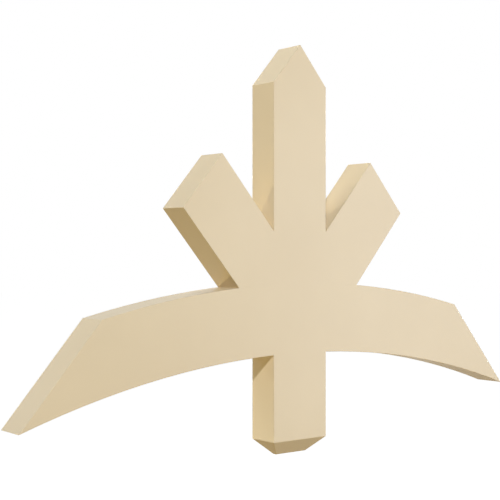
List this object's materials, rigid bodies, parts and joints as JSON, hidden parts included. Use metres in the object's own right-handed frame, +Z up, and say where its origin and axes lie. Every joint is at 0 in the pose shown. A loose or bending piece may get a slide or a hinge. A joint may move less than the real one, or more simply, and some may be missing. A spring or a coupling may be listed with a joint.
{
  "type": "decorative gable truss",
  "caption": "Decorative gable truss: king post with peaked head and chamfered foot, arched tie beam and raking struts, flush and primed tan, for the peak of a gable.",
  "frame": {"origin": "on the back face of the king post, on its centreline, level with the lower tips of the arch", "axes": "+X to the right along the span as seen from the front, +Y out of the back face into the wall, +Z up"},
  "size_m": [1.8288, 0.1016, 1.216],
  "materials": {
    "primed_member": "smooth rigid urethane with a matte tan primer coat",
    "dowel_wood": "bare hardwood",
    "screw_steel": "zinc plated"
  },
  "bodies": {
    "root": {"king_post": "primed_member", "arched_tie_beam": "primed_member", "left_strut": "primed_member", "right_strut": "primed_member", "post_dowels": "dowel_wood", "arch_dowels": "dowel_wood", "lap_screws": "screw_steel"}
  },
  "joints": []
}
